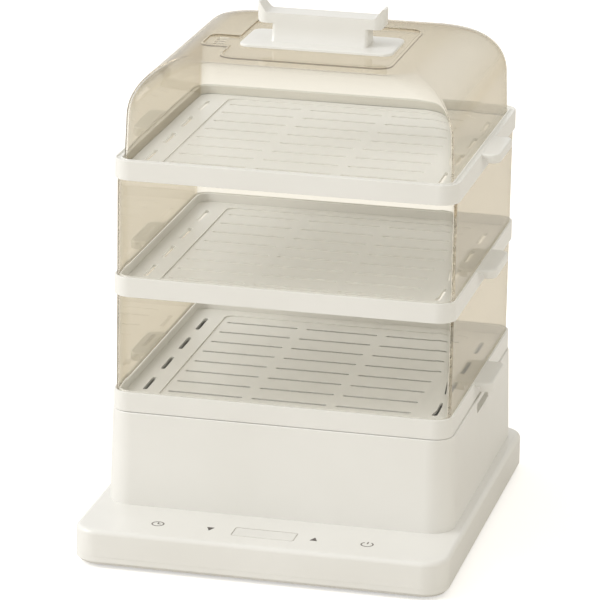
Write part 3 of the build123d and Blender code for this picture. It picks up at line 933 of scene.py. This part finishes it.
mark("icon_clock_ring", arc(CLOCK_X, 0.0, 359.0))
mark("icon_clock_hand", stroke(CLOCK_X, STRIP_Y - 0.2, CLOCK_X, STRIP_Y + 3.6))
mark("icon_clock_pointer", stroke(CLOCK_X, STRIP_Y - 0.2, CLOCK_X + 2.7, STRIP_Y - 0.2))
mark("icon_power_ring", arc(POWER_X, 125.0, 415.0))
mark("icon_power_bar", stroke(POWER_X, STRIP_Y + 0.8, POWER_X, STRIP_Y + 6.2))
# painted shade: a faint dark ring round the window's opening, standing in for the shaded edge of a
# recessed bezel
mark(
    "window_outline",
    strip_outline(0.85, 2.6),
    [strip_outline(WINDOW_GAP + 0.02, 2.22)],
    material=PAINTED_WINDOW_SHADE,
)

# ---------------------------------------------------------------- floor and room
FLOOR_REACH = 12.0  # metres
FLOOR_GLOW = 0.5  # added to what the camera sees straight
FLOOR_GLOW_THROUGH = 0.28  # added to what is seen through clear plastic


def multiply_add(tree, source, factor, addend):
    """A source times a factor, plus another source or a number."""
    node = tree.nodes.new("ShaderNodeMath")
    node.operation = "MULTIPLY_ADD"
    tree.links.new(source, node.inputs[0])
    node.inputs[1].default_value = factor
    if isinstance(addend, float):
        node.inputs[2].default_value = addend
    else:
        tree.links.new(addend, node.inputs[2])
    return node.outputs["Value"]


def floor_material():
    """A plain pale floor that looks white to the camera and keeps the object's shadow."""
    nodes = Nodes("floor")
    nodes.set(Base_Color=(0.80, 0.775, 0.73, 1.0), Roughness=0.9)
    nodes.set(Emission_Color=(1.0, 1.0, 1.0, 1.0))
    path = nodes.add("ShaderNodeLightPath").outputs
    through = multiply_add(nodes.tree, path["Is Transmission Ray"], FLOOR_GLOW_THROUGH, 0.0)
    glow = multiply_add(nodes.tree, path["Is Camera Ray"], FLOOR_GLOW, through)
    nodes.link(glow, nodes.shader.inputs["Emission Strength"])
    return nodes.material


def room(world):
    """A soft room, lighter above and to the left, behind which the camera sees white."""
    world.use_nodes = True
    tree = world.node_tree
    where = tree.nodes.new("ShaderNodeTexCoord")
    split = tree.nodes.new("ShaderNodeSeparateXYZ")
    tree.links.new(where.outputs["Generated"], split.inputs[0])
    height = multiply_add(tree, split.outputs["Z"], 0.26, 0.47)
    place = multiply_add(tree, split.outputs["X"], -0.45, height)
    ramp = tree.nodes.new("ShaderNodeValToRGB")
    elements = ramp.color_ramp.elements
    elements[0].position = 0.0
    elements[0].color = (0.56, 0.52, 0.43, 1.0)
    elements[1].position = 1.0
    elements[1].color = (1.0, 1.0, 1.0, 1.0)
    elements.new(0.5).color = (0.74, 0.725, 0.685, 1.0)
    walls = tree.nodes["Background"]
    tree.links.new(place, ramp.inputs["Fac"])
    tree.links.new(ramp.outputs["Color"], walls.inputs["Color"])
    white = tree.nodes.new("ShaderNodeBackground")
    white.inputs["Color"].default_value = (1.0, 1.0, 1.0, 1.0)
    path = tree.nodes.new("ShaderNodeLightPath")
    choose = tree.nodes.new("ShaderNodeMixShader")
    tree.links.new(path.outputs["Is Camera Ray"], choose.inputs[0])
    tree.links.new(walls.outputs[0], choose.inputs[1])
    tree.links.new(white.outputs[0], choose.inputs[2])
    tree.links.new(choose.outputs[0], tree.nodes["World Output"].inputs["Surface"])


bm = bmesh.new()
bm.faces.new([
    bm.verts.new((x * FLOOR_REACH, y * FLOOR_REACH, 0.0))
    for x, y in ((-1, -1), (1, -1), (1, 1), (-1, 1))
])
floor = made("floor", bm, flats=False)
floor.data.materials.append(floor_material())

bpy.context.scene.world = bpy.data.worlds.new("studio")
room(bpy.context.scene.world)


# ---------------------------------------------------------------- lamps and camera
def lamp(name, place, size, power, colour=(1.0, 1.0, 1.0)):
    """A soft lamp that faces the object; place and size are in metres, power in watts."""
    light = bpy.data.lights.new(name, "AREA")
    light.shape = "RECTANGLE"
    light.size, light.size_y = size
    light.energy = power
    light.color = colour
    holder = bpy.data.objects.new(name, light)
    holder.location = place
    aim = Vector((0.0, 0.0, 0.2)) - Vector(place)
    holder.rotation_euler = aim.to_track_quat("-Z", "Y").to_euler()
    bpy.context.scene.collection.objects.link(holder)


lamp("key", (-3.5, -1.5, 2.7), (2.6, 2.6), 88.0)
lamp("fill", (4.1, -1.1, 2.3), (0.4, 2.6), 20.0, (1.0, 0.97, 0.92))

# the camera that was fitted to the photograph; its place is in metres
EYE = Vector((0.7687, -3.3741, 1.2646))
AZIMUTH = math.radians(12.975)
ELEVATION = math.radians(17.042)
ROLL = math.radians(1.054)

forward = Vector((
    -math.sin(AZIMUTH) * math.cos(ELEVATION),
    math.cos(AZIMUTH) * math.cos(ELEVATION),
    -math.sin(ELEVATION),
))
level_right = Vector((math.cos(AZIMUTH), math.sin(AZIMUTH), 0.0))
level_up = level_right.cross(forward)
right = level_right * math.cos(ROLL) + level_up * math.sin(ROLL)
up = level_up * math.cos(ROLL) - level_right * math.sin(ROLL)
camera_data = bpy.data.cameras.new("camera")
camera_data.lens = 240.0
camera_data.sensor_width = 36.0
camera_data.clip_end = 50.0
camera = bpy.data.objects.new("camera", camera_data)
axes = Matrix((right, up, -forward)).transposed()
camera.matrix_world = Matrix.Translation(EYE) @ axes.to_4x4()
bpy.context.scene.collection.objects.link(camera)
bpy.context.scene.camera = camera
bpy.context.scene.view_settings.view_transform = "Standard"
